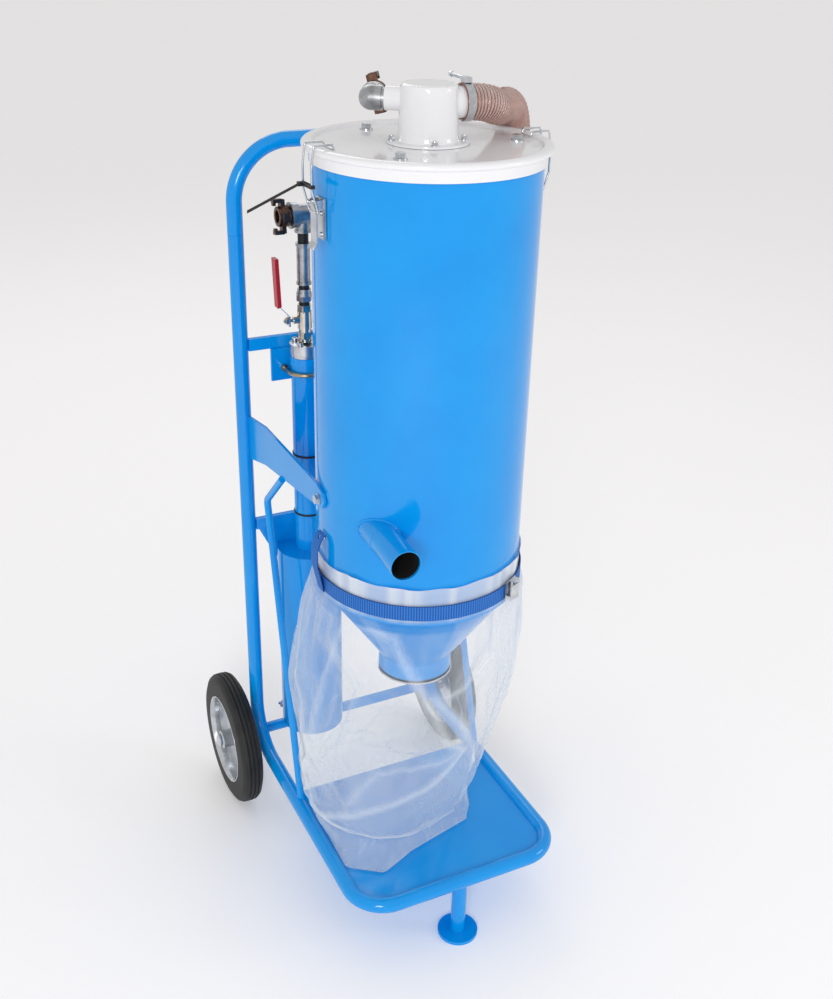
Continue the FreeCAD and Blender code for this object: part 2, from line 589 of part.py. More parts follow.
def make_column():
    nipple_r = 8.6
    bore = 8.65
    elbow_z = 1131.0
    hub_end = COLUMN_X - 22.0
    elbow = bar(16.0, vec(COLUMN_X + 13, COLUMN_Y, elbow_z), vec(COLUMN_X - 11, COLUMN_Y, elbow_z))
    elbow = elbow.fuse([bar(19.0, vec(COLUMN_X - 9, COLUMN_Y, elbow_z), vec(hub_end, COLUMN_Y, elbow_z)),
                        bar(20.5, vec(hub_end + 3, COLUMN_Y, elbow_z), vec(hub_end, COLUMN_Y, elbow_z)),
                        column_part(12.5, 1104, elbow_z), column_part(13.8, 1104, 1108)])
    elbow = elbow.cut(bar(12.0, vec(hub_end - 1, COLUMN_Y, elbow_z), vec(COLUMN_X, COLUMN_Y, elbow_z)))
    elbow = elbow.cut(column_part(bore, 1100, elbow_z)).removeSplitter()
    socket = column_part(10.9, 1020, 1087).fuse([column_part(12.3, 1020, 1024.5), column_part(12.3, 1082.5, 1087)])
    socket = socket.cut(column_part(bore, 1000, 1100)).removeSplitter()
    union = hexagon(23, 9, vec(COLUMN_X, COLUMN_Y, 993), UP)
    union = union.fuse([column_part(12.6, 1001, 1007), column_part(11.2, 1006, 1013)])
    union = union.cut(column_part(bore, 990, 1020)).removeSplitter()
    save("galvanised_fittings", elbow, socket, union)
    spans = ((1079, 1112), (1005, 1028), (978, 1000), (914, 933))
    save("black_nipples", *[column_part(nipple_r, low, high, 6.2) for low, high in spans])
    save("air_coupling", claw_coupling(vec(hub_end, COLUMN_Y, elbow_z), vec(-1, 0, 0), 8.0))

    # Ball valve: body, ball with its stem, lever and red sleeve.
    body = hexagon(21, 13, vec(COLUMN_X, COLUMN_Y, 973.5), UP)
    body = body.fuse([column_part(11.8, 947, 976), hexagon(20, 11, vec(COLUMN_X, COLUMN_Y, 930), UP),
                      column_part(10.2, 925, 950), column_part(11.6, 925, 930)])
    body = body.fuse(bar(6.2, vec(COLUMN_X - 8, COLUMN_Y, VALVE_Z), vec(COLUMN_X - 20, COLUMN_Y, VALVE_Z)))
    ball_room = Part.makeSphere(8.45, vec(COLUMN_X, COLUMN_Y, VALVE_Z))
    body = body.cut(column_part(6.2, 920, 990)).cut(ball_room)
    body = body.cut(column_part(bore, 976, 990)).cut(column_part(bore, 920, 935))
    body = body.cut(bar(3.06, vec(COLUMN_X, COLUMN_Y, VALVE_Z), vec(COLUMN_X - 30, COLUMN_Y, VALVE_Z)))
    save("valve_body", body.removeSplitter())
    ball = Part.makeSphere(8.35, vec(COLUMN_X, COLUMN_Y, VALVE_Z)).cut(column_part(5.5, 940, 985))
    stem = bar(3.0, vec(COLUMN_X - 7, COLUMN_Y, VALVE_Z), vec(COLUMN_X - 36, COLUMN_Y, VALVE_Z))
    stem = stem.fuse(hexagon(10, 4.5, vec(COLUMN_X - 28.6, COLUMN_Y, VALVE_Z), vec(-1, 0, 0)))
    save("valve_ball", ball.fuse(stem.cut(column_part(5.5, 940, 985))).removeSplitter())
    hub_x = COLUMN_X - 28.5
    bend = (COLUMN_X - 46, VALVE_Z + 27)
    tip = (COLUMN_X - 49, VALVE_Z + 102)
    strip = [vec(hub_x, 0, VALVE_Z - 9), vec(hub_x, 0, VALVE_Z + 9), vec(bend[0], 0, bend[1]),
             vec(tip[0], 0, tip[1]), vec(tip[0] + 2.4, 0, tip[1]), vec(bend[0] + 2.6, 0, bend[1] - 0.8),
             vec(hub_x + 2.4, 0, VALVE_Z + 8), vec(hub_x + 2.4, 0, VALVE_Z - 9)]
    lever = plate([p + vec(0, COLUMN_Y - 6, 0) for p in strip], vec(0, 12, 0))
    lever = lever.cut(bar(3.1, vec(COLUMN_X, COLUMN_Y, VALVE_Z), vec(COLUMN_X - 60, COLUMN_Y, VALVE_Z)))
    sleeve_out = [vec(bend[0] - 1.8, 0, bend[1] - 3), vec(tip[0] - 2.0, 0, tip[1] + 2.5),
                  vec(tip[0] + 4.4, 0, tip[1] + 2.5), vec(bend[0] + 4.6, 0, bend[1] - 1)]
    sleeve = plate([p + vec(0, COLUMN_Y - 8, 0) for p in sleeve_out], vec(0, 16, 0))
    save("lever_sleeve", sleeve.cut(lever))
    save("valve_lever", lever)

    # Ejector: flanged head with its air nozzle inside, and the tube with the suction port.
    head = column_part(26.0, 905, 922).fuse(column_part(25.0, 900, 905)).cut(column_part(bore, 900, 925))
    for i in range(4):
        spot = at_angle(18.5, 45 + 90 * i, 0)
        head = head.cut(upright_bar(3.05, COLUMN_X + spot.x, COLUMN_Y + spot.y, 890, 930))
    save("ejector_head", head.removeSplitter())
    nozzle = turned([(5.0, 915), (8.5, 915), (8.5, 880), (5.5, 850), (3.0, 850), (3.0, 856), (5.0, 880)])
    nozzle.translate(vec(COLUMN_X, COLUMN_Y, 0))
    save("ejector_nozzle", nozzle.cut(column_part(8.62, 913.9, 940)))
    port_z = 815.0
    tube = column_part(24.15, 525, 893).fuse(column_part(26.0, 886, 900))
    tube = tube.fuse(bar(STUB_R, vec(COLUMN_X, COLUMN_Y, port_z), vec(-15, COLUMN_Y, port_z)))
    tube = tube.cut(column_part(21.0, 520, 900)).cut(bar(18.5, vec(COLUMN_X, COLUMN_Y, port_z),
                                                         vec(-10, COLUMN_Y, port_z)))
    save("ejector_tube", tube.removeSplitter())

    arc = Part.Arc(vec(COLUMN_X - 28.5, COLUMN_Y, 874), vec(COLUMN_X, COLUMN_Y - 28.5, 874),
                   vec(COLUMN_X + 28.5, COLUMN_Y, 874)).toShape()
    legs = [Part.LineSegment(vec(COLUMN_X - 28.5, 306, 874), vec(COLUMN_X - 28.5, COLUMN_Y, 874)).toShape(),
            arc, Part.LineSegment(vec(COLUMN_X + 28.5, COLUMN_Y, 874), vec(COLUMN_X + 28.5, 306, 874)).toShape()]
    section = Part.Wire(Part.Circle(vec(COLUMN_X - 28.5, 306, 874), vec(0, 1, 0), 3.5).toShape())
    u_bolt = Part.Wire(legs).makePipeShell([section], True, False)
    for side in (-1, 1):
        for y in (293.1, 281.0):
            nut = hexagon(11, 5.5, vec(COLUMN_X + side * 28.5, y, 874), vec(0, 1, 0))
            u_bolt = u_bolt.fuse(nut)
    save("u_bolt", u_bolt.removeSplitter())

    # Silencer: closed can with a hole in its floor, packed with foam.
    can_r, can_low, can_high, wall = 57.0, 168.0, 545.0, 1.5
    can = column_part(can_r, can_low, can_high).cut(column_part(can_r - wall, can_low + wall, can_high - wall))
    can = can.cut(column_part(24.2, 520, 560)).cut(column_part(22.0, 150, 200))
    save("silencer_can", can)
    save("silencer_foam", column_part(can_r - wall - 0.5, can_low + wall + 0.5, 520, 26.0))


def make_bolts():
    """Plain zinc hexagon bolts and screws: arms to drum, silencer, ejector head, belt loops."""
    bolts = []
    for side in (-1, 1):
        outward = vec(side, 0, 0)
        head = hexagon(13, 5.5, vec(side * 167.4, 3, 771), outward)
        washer = bar(8.0, vec(side * 165.6, 3, 771), vec(side * 167.4, 3, 771))
        shank = bar(4.0, vec(side * 148, 3, 771), vec(side * 167, 3, 771))
        nut = hexagon(13, 6.0, vec(side * 151.8, 3, 771), outward)
        bolts.append(washer.fuse([head, shank, nut]).removeSplitter())
    out = vec(-math.sqrt(0.5), math.sqrt(0.5), 0)
    seat = vec(COLUMN_X, COLUMN_Y, 181) + out * 57.15
    bolts.append(bar(8.0, seat, seat + out * 1.6).fuse([hexagon(13, 6.5, seat + out * 1.6, out),
                                                       bar(4.0, seat, seat + out * 13)]).removeSplitter())
    for i in range(4):
        spot = at_angle(18.5, 45 + 90 * i, 0)
        x, y = COLUMN_X + spot.x, COLUMN_Y + spot.y
        screw = upright_bar(3.0, x, y, 906, 922).fuse(upright_bar(4.8, x, y, 922, 927))
        bolts.append(screw.cut(hexagon(5, 3, vec(x, y, 924.5), UP)).removeSplitter())
    for angle in LOOP_ANGLES:
        stud = bar(3.0, vec(DRUM_R + 0.15, 0, 711), vec(165, 0, 711))
        stud = stud.fuse(bar(6.0, vec(DRUM_R + 0.15, 0, 711), vec(DRUM_R + 1.2, 0, 711)))
        bolts.append(turn(stud.removeSplitter(), angle))
    save("bolts", *bolts)


# ---------------------------------------------------------------- suction hose

HOSE_ROUTE = [
    (45.54, -3.98, 1331), (68, -5.95, 1331), (90, 1, 1327), (108, 15, 1320), (124, 35, 1314.5),
    (140, 58, 1313), (158, 82, 1312.5), (175, 101, 1299), (188, 114, 1268), (194, 122, 1230),
    (195, 142, 1176), (187, 172, 1120),
    (170, 202, 1062), (146, 228, 1004), (118, 247, 948), (86, 258, 898), (52, 262, 856),
    (20, 262, 830), (-8, 262, 815.5), (-40, 262, 815)]


def make_hose():
    points = [vec(*p) for p in HOSE_ROUTE]
    wire, radii = route_wire(points)
    hose = bent_bar(points, HOSE_R, None, HOSE_BORE_R)
    save("suction_hose", hose)
    print("hose length", round(wire.Length, 1), "smallest bend", round(min(radii), 1),
          "volume ratio", round(hose.Volume / (math.pi * (HOSE_R ** 2 - HOSE_BORE_R ** 2) * wire.Length), 4))

    # Worm-drive clamps: band, raised housing, and the screw lying across it.
    clamps = []
    ends = ((points[0], points[1].sub(points[0]).normalize(), 2.0, 42.0),
            (points[-1], points[-2].sub(points[-1]).normalize(), 6.0, 8.0))
    for start, along, offset, screw_length in ends:
        low = start + along * offset
        high = low + along * 11
        band = bar(HOSE_R + 1.2, low, high, HOSE_R + 0.1)
        housing = block(-8, 8, -5.5, 5.5, 0, 7)
        screw = bar(2.4, vec(7, 0, 4), vec(8 + screw_length, 0, 4))
        screw = screw.fuse(hexagon(7, 5, vec(8 + screw_length, 0, 4), vec(1, 0, 0)))
        fittings = housing.fuse(screw)
        placement = FreeCAD.Rotation(UP.cross(along), along, UP, "ZXY")
        fittings.Placement = FreeCAD.Placement(low + along * 5.5 + UP * (HOSE_R + 0.8), placement)
        clamps.append(band.fuse(fittings).removeSplitter())
    save("hose_clamps", *clamps)


make_frame()
make_wheels()
make_drum()
make_lid()
make_turret()
make_seals()
make_latches()
make_bag()
make_column()
make_bolts()
make_hose()
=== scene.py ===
import math
import random
import bpy
from mathutils import Matrix, Vector, noise


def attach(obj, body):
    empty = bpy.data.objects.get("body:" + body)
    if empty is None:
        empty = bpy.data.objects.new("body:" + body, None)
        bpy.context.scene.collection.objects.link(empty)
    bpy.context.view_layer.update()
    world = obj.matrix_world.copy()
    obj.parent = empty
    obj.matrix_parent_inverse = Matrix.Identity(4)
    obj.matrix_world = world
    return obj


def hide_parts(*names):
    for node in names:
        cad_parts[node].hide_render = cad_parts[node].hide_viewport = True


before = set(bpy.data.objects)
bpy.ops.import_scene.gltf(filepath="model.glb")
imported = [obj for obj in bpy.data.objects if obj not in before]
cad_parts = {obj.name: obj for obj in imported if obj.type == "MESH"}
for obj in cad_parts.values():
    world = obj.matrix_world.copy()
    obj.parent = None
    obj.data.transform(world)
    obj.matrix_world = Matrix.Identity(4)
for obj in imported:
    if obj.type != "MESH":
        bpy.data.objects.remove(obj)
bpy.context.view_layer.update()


# ---- Camera ----
# A person's eye height and a little to the left of the machine, looking down at it with a
# normal lens, so that the front of the drum, its lid and the tray all show.

lens_mm = 42.88
eye = Vector((-0.74862, -1.58758, 1.57363))
turn_left, tilt_down, roll = math.radians(-26.75), math.radians(26.77), math.radians(1.44)
level = Vector((math.cos(turn_left), math.sin(turn_left), 0))
ahead = Vector((-math.sin(turn_left) * math.cos(tilt_down), math.cos(turn_left) * math.cos(tilt_down),
                -math.sin(tilt_down)))
above = level.cross(ahead)
camera_right = math.cos(roll) * level + math.sin(roll) * above
camera_up = math.cos(roll) * above - math.sin(roll) * level
camera = bpy.data.objects.new("camera", bpy.data.cameras.new("camera"))
camera.data.lens = lens_mm
camera.data.sensor_width = 36.0
camera.matrix_world = Matrix((camera_right, camera_up, -ahead)).transposed().to_4x4()
camera.matrix_world.translation = eye
bpy.context.scene.collection.objects.link(camera)
bpy.context.scene.camera = camera


# ---- Suction hose ----
# A clear polyurethane hose with a copper-coated spring wire moulded into its wall. It takes the
# vacuum from the ejector's side port up and over to the turret on the lid.

# The machine's own frame has its middle between the wheels and the foot, behind the drum's axis.
FOOTPRINT_SHIFT = Vector((0.0, -0.10975, 0.0))


def at(x, y, z):
    """A place in millimetres from the drum's axis, as metres in the machine's own frame."""
    return Vector((x, y, z)) / 1000 + FOOTPRINT_SHIFT


def linear(hex_code):
    """An sRGB hex colour as the linear values that Blender works in."""
    channels = [int(hex_code[i:i + 2], 16) / 255 for i in (1, 3, 5)]
    return [c / 12.92 if c <= 0.04045 else ((c + 0.055) / 1.055) ** 2.4 for c in channels] + [1.0]


def material(name, colour, **constants):
    """A material whose one shader has these constants, given by the names of its sockets."""
    made = bpy.data.materials.new(name)
    made.use_nodes = True
    shader = made.node_tree.nodes["Principled BSDF"]
    shader.inputs["Base Color"].default_value = linear(colour)
    for socket, value in constants.items():
        shader.inputs[socket.replace("_", " ")].default_value = value
    return made


def add(made, kind, settings, **links):
    """Adds a node. Settings are its properties, its loose inputs and a ramp's stops, given as
    (place, hex colour). Links are its joined-up inputs."""
    new = made.node_tree.nodes.new("ShaderNode" + kind)
    for key, value in settings.items():
        if key == "stops":
            while len(new.color_ramp.elements) < len(value):
                new.color_ramp.elements.new(0.5)
            for element, (place, colour) in zip(new.color_ramp.elements, value):
                element.position = place
                element.color = linear(colour)
        elif hasattr(new, str(key)):
            setattr(new, key, value)
        else:
            new.inputs[key].default_value = value
    for key, source in links.items():
        target = new.inputs[int(key[1:])] if key[1:].isdigit() else new.inputs[key.replace("_", " ")]
        made.node_tree.links.new(source, target)
    return new


def feed(made, socket, source):
    """Joins a node's output to one of the shader's inputs."""
    shader = made.node_tree.nodes["Principled BSDF"]
    made.node_tree.links.new(source, shader.inputs[socket])


def link_object(name, data, body):
    """A new piece that rides on a body of the machine."""
    piece = bpy.data.objects.new(name, data)
    bpy.context.scene.collection.objects.link(piece)
    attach(piece, body)
    return piece


def smooth_mesh(name, vertices, faces, made):
    """A smooth-shaded mesh of one material."""
    mesh = bpy.data.meshes.new(name)
    mesh.from_pydata([tuple(v) for v in vertices], [], faces)
    mesh.polygons.foreach_set("use_smooth", [True] * len(mesh.polygons))
    mesh.materials.append(made)
    mesh.update()
    return mesh


def spline_points(points):
    """Close points along the smooth line that a NURBS spline makes of a route."""
    curve = bpy.data.curves.new("line", "CURVE")
    curve.dimensions = "3D"
    curve.resolution_u = 48
    spline = curve.splines.new("NURBS")
    spline.points.add(len(points) - 1)
    for place, point in zip(spline.points, points):
        place.co = (*point, 1.0)
    spline.order_u = 3
    spline.use_endpoint_u = True
    carrier = bpy.data.objects.new("line", curve)
    mesh = bpy.data.meshes.new_from_object(carrier)
    line = [v.co.copy() for v in mesh.vertices]
    bpy.data.objects.remove(carrier)
    bpy.data.meshes.remove(mesh)
    return line


def evenly(line, step):
    """The same line again, with its points a fixed step apart, and its length."""
    lengths = [0.0]
    for a, b in zip(line, line[1:]):
        lengths.append(lengths[-1] + (b - a).length)
    count = max(2, round(lengths[-1] / step))
    out, i = [], 0
    for k in range(count + 1):
        want = lengths[-1] * k / count
        while i < len(line) - 2 and lengths[i + 1] < want:
            i += 1
        span = lengths[i + 1] - lengths[i]
        out.append(line[i].lerp(line[i + 1], (want - lengths[i]) / span if span else 0.0))
    return out, lengths[-1]


def sweep_frames(line):
    """At each point of a line, its direction and two steady square directions across it."""
    frames = []
    across = None
    for i, point in enumerate(line):
        along = (line[min(i + 1, len(line) - 1)] - line[max(i - 1, 0)]).normalized()
        if across is None:
            across = along.orthogonal().normalized()
        across = (across - along * across.dot(along)).normalized()
        frames.append((point, along, across, along.cross(across)))
    return frames


def tube_mesh(name, line, radii, made, sides=24, closed_line=False):
    """A round tube along a line. Radii is one number, or one number for each point."""
    frames = sweep_frames(line)
    radii = radii if hasattr(radii, "__len__") else [radii] * len(line)
    vertices = []
    for (point, _, across, other), radius in zip(frames, radii):
        for k in range(sides):
            angle = 2 * math.pi * k / sides
            vertices.append(point + across * (radius * math.cos(angle))
                            + other * (radius * math.sin(angle)))
    rows = len(line)
    faces = []
    for row in range(rows if closed_line else rows - 1):
        for k in range(sides):
            a, b = row * sides, ((row + 1) % rows) * sides
            faces.append((a + k, a + (k + 1) % sides, b + (k + 1) % sides, b + k))
    return smooth_mesh(name, vertices, faces, made)


hose_route = [
    at(45.54, -3.98, 1331), at(68, -5.95, 1331), at(90, -1, 1327), at(108, 10, 1320.5), at(125, 27, 1316),
    at(142, 47, 1314.5), at(161, 67, 1313), at(180, 84, 1298), at(192, 96, 1266), at(197, 106, 1226),
    at(197, 132, 1175), at(189, 166, 1120), at(171, 200, 1062), at(146, 227, 1004), at(118, 247, 948),
    at(86, 258, 898), at(52, 262, 856), at(20, 262, 830), at(-8, 262, 815.5), at(-40, 262, 815)]
hose_outer = 0.0245
rib_pitch = 0.0042
rib_swell = 0.0009
wire_radius = 0.00085

# Clear polyurethane: glossy, faintly pink from the wire in it, and milky where seen edge on.
clear_polyurethane = material("clear_polyurethane", "#F0E2DA", Roughness=0.12, IOR=1.49, Coat_Weight=0.6)
facing = add(clear_polyurethane, "LayerWeight", {"Blend": 0.45})
clear_share = add(clear_polyurethane, "MapRange", {"To Min": 0.30, "To Max": 0.8},
                  Value=facing.outputs["Facing"])
feed(clear_polyurethane, "Alpha", clear_share.outputs["Result"])

# Copper-coated spring steel: warm pinkish brown, drawn smooth and bright.
coppered_wire = material("coppered_spring_wire", "#9C6253", Metallic=0.4, Roughness=0.3)

# The wall is drawn in steps short enough for seven rows to each rib, the wire in shorter ones.
wall_step, wire_step = 0.0006, 0.00024
hose_line, hose_length = evenly(spline_points(hose_route), wall_step)
wave = [hose_outer - 0.0010 + rib_swell * math.cos(2 * math.pi * i * wall_step / rib_pitch)
        for i in range(len(hose_line))]
hose_mesh = tube_mesh("suction_hose_wall", hose_line, wave, clear_polyurethane, 40)
hose = link_object("suction_hose_wall", hose_mesh, "machine")
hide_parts("suction_hose")

wire_line = []
hose_frames = sweep_frames(hose_line)
for i in range(int(hose_length / wire_step)):
    row, share = divmod(i * wire_step / hose_length * (len(hose_line) - 1), 1.0)
    near, far = hose_frames[int(row)], hose_frames[int(row) + 1]
    middle, across, other = (near[k].lerp(far[k], share) for k in (0, 2, 3))
    angle = 2 * math.pi * i * wire_step / rib_pitch
    wire_line.append(middle + (across * math.cos(angle) + other * math.sin(angle)) * (hose_outer - 0.0006))
wire_mesh = tube_mesh("suction_hose_wire", wire_line, wire_radius, coppered_wire, 6)
wire = link_object("suction_hose_wire", wire_mesh, "machine")


# ---- Studio ----
# A seamless pale floor under broad soft lights, as used for catalogue pictures.

floor_half = 20
floor_corners = [(-floor_half, -floor_half, 0), (floor_half, -floor_half, 0),
                 (floor_half, floor_half, 0), (-floor_half, floor_half, 0)]
floor_mesh = bpy.data.meshes.new("floor")
floor_mesh.from_pydata(floor_corners, [], [(0, 1, 2, 3)])
floor = bpy.data.objects.new("floor", floor_mesh)
bpy.context.scene.collection.objects.link(floor)
# Matt white background paper: no shine, and lit evenly enough to look almost shadowless.
floor_paper = material("studio_paper", "#F6F5F5", Roughness=0.9, Emission_Color=linear("#FFFEFE"),
                       Emission_Strength=0.12)
floor_mesh.materials.append(floor_paper)

# The colours are shown as they are lit, with no film curve over them.
bpy.context.scene.view_settings.view_transform = "Standard"
world = bpy.data.worlds.new("studio")
world.use_nodes = True
world.node_tree.nodes["Background"].inputs["Color"].default_value = linear("#F8F7F7")
world.node_tree.nodes["Background"].inputs["Strength"].default_value = 0.74
bpy.context.scene.world = world
# Each softbox: its place, what it points at, its side in metres and its power in watts.
softboxes = {
    "key": ((-1.9, -3.1, 1.9), (0, 0, 0.8), 1.0, 44.0),
    "fill": ((2.8, -2.0, 1.7), (0, 0, 0.7), 1.0, 14.0),
    "back": ((0.6, 3.0, 3.2), (0, 0.2, 0.6), 1.6, 14.0)}
for name, (place, target, size, watts) in softboxes.items():
    lamp = bpy.data.lights.new(name, "AREA")
    lamp.size = size
    lamp.energy = watts
    lamp_object = bpy.data.objects.new(name, lamp)
    lamp_object.location = place
    lamp_object.rotation_euler = (Vector(target) - Vector(place)).to_track_quat("-Z", "Y").to_euler()
    bpy.context.scene.collection.objects.link(lamp_object)


# ---- Trolley frame ----
# Bent 25 mm steel tube with welded rails, arms and plates, a folded tray and a round foot. It is
# welded up whole and then sprayed with glossy blue enamel.

def dress(node, made, edge_mm=0.5):
    """Gives a CAD piece its finish, smooth shading and softened edges."""
    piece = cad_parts[node]
    piece.data.materials.clear()
    piece.data.materials.append(made)
    piece.data.polygons.foreach_set("material_index", [0] * len(piece.data.polygons))
    piece.data.polygons.foreach_set("use_smooth", [True] * len(piece.data.polygons))
    weld = piece.modifiers.new("weld", "WELD")
    weld.merge_threshold = 0.00001
    if edge_mm:
        bevel = piece.modifiers.new("edges", "BEVEL")
        bevel.width = edge_mm / 1000
        bevel.segments = 2
        bevel.angle_limit = math.radians(32)
    normals = piece.modifiers.new("normals", "WEIGHTED_NORMAL")
    normals.keep_sharp = True
    return piece


def enamel(name, colour, deeper):
    """Sprayed enamel: an even, wet-looking colour with faint orange peel a few millimetres wide."""
    made = material(name, colour, Roughness=0.10, IOR=1.47)
    where = add(made, "TexCoord", {})
    cloud = add(made, "TexNoise", {"Scale": 9.0, "Detail": 3.0}, Vector=where.outputs["Object"])
    tone = add(made, "ValToRGB", {"stops": ((0.3, deeper), (0.7, colour))}, Fac=cloud.outputs["Fac"])
    feed(made, "Base Color", tone.outputs["Color"])
    peel = add(made, "TexNoise", {"Scale": 260.0, "Detail": 1.0}, Vector=where.outputs["Object"])
    bump = add(made, "Bump", {"Strength": 0.05, "Distance": 0.0003}, Height=peel.outputs["Fac"])
    feed(made, "Normal", bump.outputs["Normal"])
    return made


# Bright blue machine enamel: a strong clean colour with sharp highlights.
blue_enamel = enamel("blue_gloss_enamel", "#0499E8", "#0090E2")
for node in ("handle_hoop", "uprights", "base_bends", "base_hoop", "tray", "front_foot", "cross_rails",
             "axle", "frame_plates", "support_arms", "brace_rods"):
    dress(node, blue_enamel)


# ---- Wheels ----
# Solid black rubber tyres with three grooves, on pressed rims of zinc-plated steel that run on
# nylon bushes. A cap on each end of the axle keeps the wheel on.

def metal(name, colour, roughness, grain_mm=0.8, depth=0.15, darker="#8A8D90"):
    """Metal with a faint uneven tone and fine grain."""
    made = material(name, colour, Metallic=1.0, Roughness=roughness)
    where = add(made, "TexCoord", {})
    cloud = add(made, "TexNoise", {"Scale": 60.0, "Detail": 4.0}, Vector=where.outputs["Object"])
    tone = add(made, "ValToRGB", {"stops": ((0.25, darker), (0.6, colour))}, Fac=cloud.outputs["Fac"])
    feed(made, "Base Color", tone.outputs["Color"])
    fine = add(made, "TexNoise", {"Scale": 1000.0 / grain_mm, "Detail": 2.0},
               Vector=where.outputs["Object"])
    bump = add(made, "Bump", {"Strength": depth, "Distance": 0.0002}, Height=fine.outputs["Fac"])
    feed(made, "Normal", bump.outputs["Normal"])
    return made


# Moulded rubber: dull black with a fine pitted skin and a little grey dust.
tyre_rubber = material("moulded_black_rubber", "#131314", Roughness=0.62, IOR=1.52)
where = add(tyre_rubber, "TexCoord", {})
dust = add(tyre_rubber, "TexNoise", {"Scale": 45.0, "Detail": 5.0}, Vector=where.outputs["Object"])
tone = add(tyre_rubber, "ValToRGB", {"stops": ((0.35, "#0C0C0D"), (0.75, "#1C1B1B"))},
           Fac=dust.outputs["Fac"])
feed(tyre_rubber, "Base Color", tone.outputs["Color"])
pitted = add(tyre_rubber, "TexNoise", {"Scale": 900.0, "Detail": 2.0}, Vector=where.outputs["Object"])
bump = add(tyre_rubber, "Bump", {"Strength": 0.25, "Distance": 0.0003}, Height=pitted.outputs["Fac"])
feed(tyre_rubber, "Normal", bump.outputs["Normal"])

# Bright zinc plate: pale silver, faintly blue, with clear but soft reflections.
zinc_plate = metal("bright_zinc_plate", "#D3D6DA", 0.24, darker="#B4B8BC")
# Natural nylon: off-white, waxy and a little dull.
nylon = material("natural_nylon", "#E2DFD6", Roughness=0.45, IOR=1.53)
for side in ("left", "right"):
    dress("tyre_" + side, tyre_rubber)
    dress("rim_" + side, zinc_plate)
    dress("bush_" + side, nylon, 0.3)
dress("axle_caps", zinc_plate)


# ---- Drum, inlet and hopper ----
# A rolled and welded steel drum with a beaded bottom edge. The inlet tube is welded in along its
# wall, and a cone under it leads to the outlet in the bag.

def round_shading(piece):
    """Makes a wall that is round about the drum's axis shade as one true cylinder."""
    mesh = piece.data
    normals = [Vector(n.vector) for n in mesh.corner_normals]
    for face in mesh.polygons:
        for corner in face.loop_indices:
            place = mesh.vertices[mesh.loops[corner].vertex_index].co - FOOTPRINT_SHIFT
            outward = Vector((place.x, place.y, 0)).normalized()
            upright = face.normal.dot(outward)
            normals[corner] = outward.copy() if upright > 0.97 else face.normal.copy()
            if upright < -0.97:
                normals[corner] = -outward
    mesh.normals_split_custom_set(normals)


for node in ("inlet_tube", "hopper_cone", "outlet_collar"):
    dress(node, blue_enamel, 0.4)
drum = dress("drum_shell", blue_enamel, 0.0)
drum.modifiers.clear()
round_shading(drum)

# A lap of weld beads round the inlet where it enters the drum, painted over with the rest. The
# line of the weld runs where the inlet's side meets the drum's wall, and swells at each bead.
drum_outside, weld_reach, inlet_inside = 0.1603, 0.0237, 0.02155
weld_points, weld_beads = 240, 40
inlet_mouth, inlet_out = at(-121.5, -207, 755.5), Vector((-0.052336, -0.99863, 0))
inlet_side, inward = Vector((-inlet_out.y, inlet_out.x, 0)), -inlet_out
weld_line = []
for k in range(weld_points):
    angle = 2 * math.pi * k / weld_points
    ring_place = inlet_side * math.cos(angle) + Vector((0, 0, 1)) * math.sin(angle)
    start = inlet_mouth + ring_place * weld_reach - FOOTPRINT_SHIFT
    b = start.x * inward.x + start.y * inward.y
    c = start.x ** 2 + start.y ** 2 - drum_outside ** 2
    weld_line.append(start + inward * (-b - math.sqrt(b * b - c)) + FOOTPRINT_SHIFT)
weld_radii = [0.0017 + 0.0007 * abs(math.sin(math.pi * weld_beads * k / weld_points))
              for k in range(weld_points)]
weld = link_object("inlet_weld", tube_mesh("inlet_weld", weld_line, weld_radii, blue_enamel, 10, True),
                   "machine")

# Near-black, matt and colourless: painted shade for the dark inside of the inlet's bore.
painted_bore_shade = material("painted_shade_black", "#0B0A0B", Roughness=0.85)
# A black sleeve on the bore's wall, 4 to 85 mm in from the mouth, paints the shade inside the tube.
bore_shade_line = [inlet_mouth - inlet_out * depth for depth in (0.004, 0.03, 0.06, 0.085)]
bore_shade_sleeve = link_object("inlet_painted_shade", tube_mesh("inlet_painted_shade", bore_shade_line, inlet_inside, painted_bore_shade, 48),
                     "machine")
for node in ("discharge_flap", "flap_pin"):
    dress(node, zinc_plate, 0.4)


# ---- Lid, filter and turret ----
# A pressed steel lid and a welded turret, both in white enamel. The pleated filter hangs from the
# lid on three bolts, and rubber gaskets seal every joint.

# White machine enamel: clean, slightly cool white with sharp highlights.
white_enamel = enamel("white_gloss_enamel", "#EDEDEF", "#E8E8EA")
# Sheet rubber: dark, with a soft sheen on its cut edge.
black_rubber = material("black_seal_rubber", "#161616", Roughness=0.55)
# Needled polyester: a matt off-white cloth.
filter_cloth = material("polyester_filter_felt", "#E4E1D8", Roughness=0.9)
for node in ("lid", "turret"):
    dress(node, white_enamel, 0.6)
dress("seals", black_rubber, 0.0)
dress("filter_medium", filter_cloth, 0.0)
for node in ("filter_plates", "filter_bolts", "turret_nuts"):
    dress(node, zinc_plate, 0.4)


# ---- Pipe fittings ----
# Malleable iron fittings, hot-dip galvanised, with black nipples between them and brass claw
# couplings for the compressed-air hoses.

# Hot-dip galvanised iron: mottled grey, rough-cast under the zinc.
galvanised = metal("hot_dip_galvanised_iron", "#B4B6B8", 0.34, 2.0, 0.5, "#6E7174")
# Old cast brass: dull brown, brighter on its edges.
cast_brass = metal("dull_cast_brass", "#6F5346", 0.36, 1.2, 0.4, "#3C261C")
# Black steel pipe: a thin dark scale, with a faint metal sheen.
black_pipe = material("black_steel_pipe", "#17181A", Roughness=0.5, Metallic=0.3)
# Nickel plate: warm silver and smooth.
nickel = metal("nickel_plated_brass", "#D8D0C4", 0.2, 1.0, 0.1, "#A89F92")
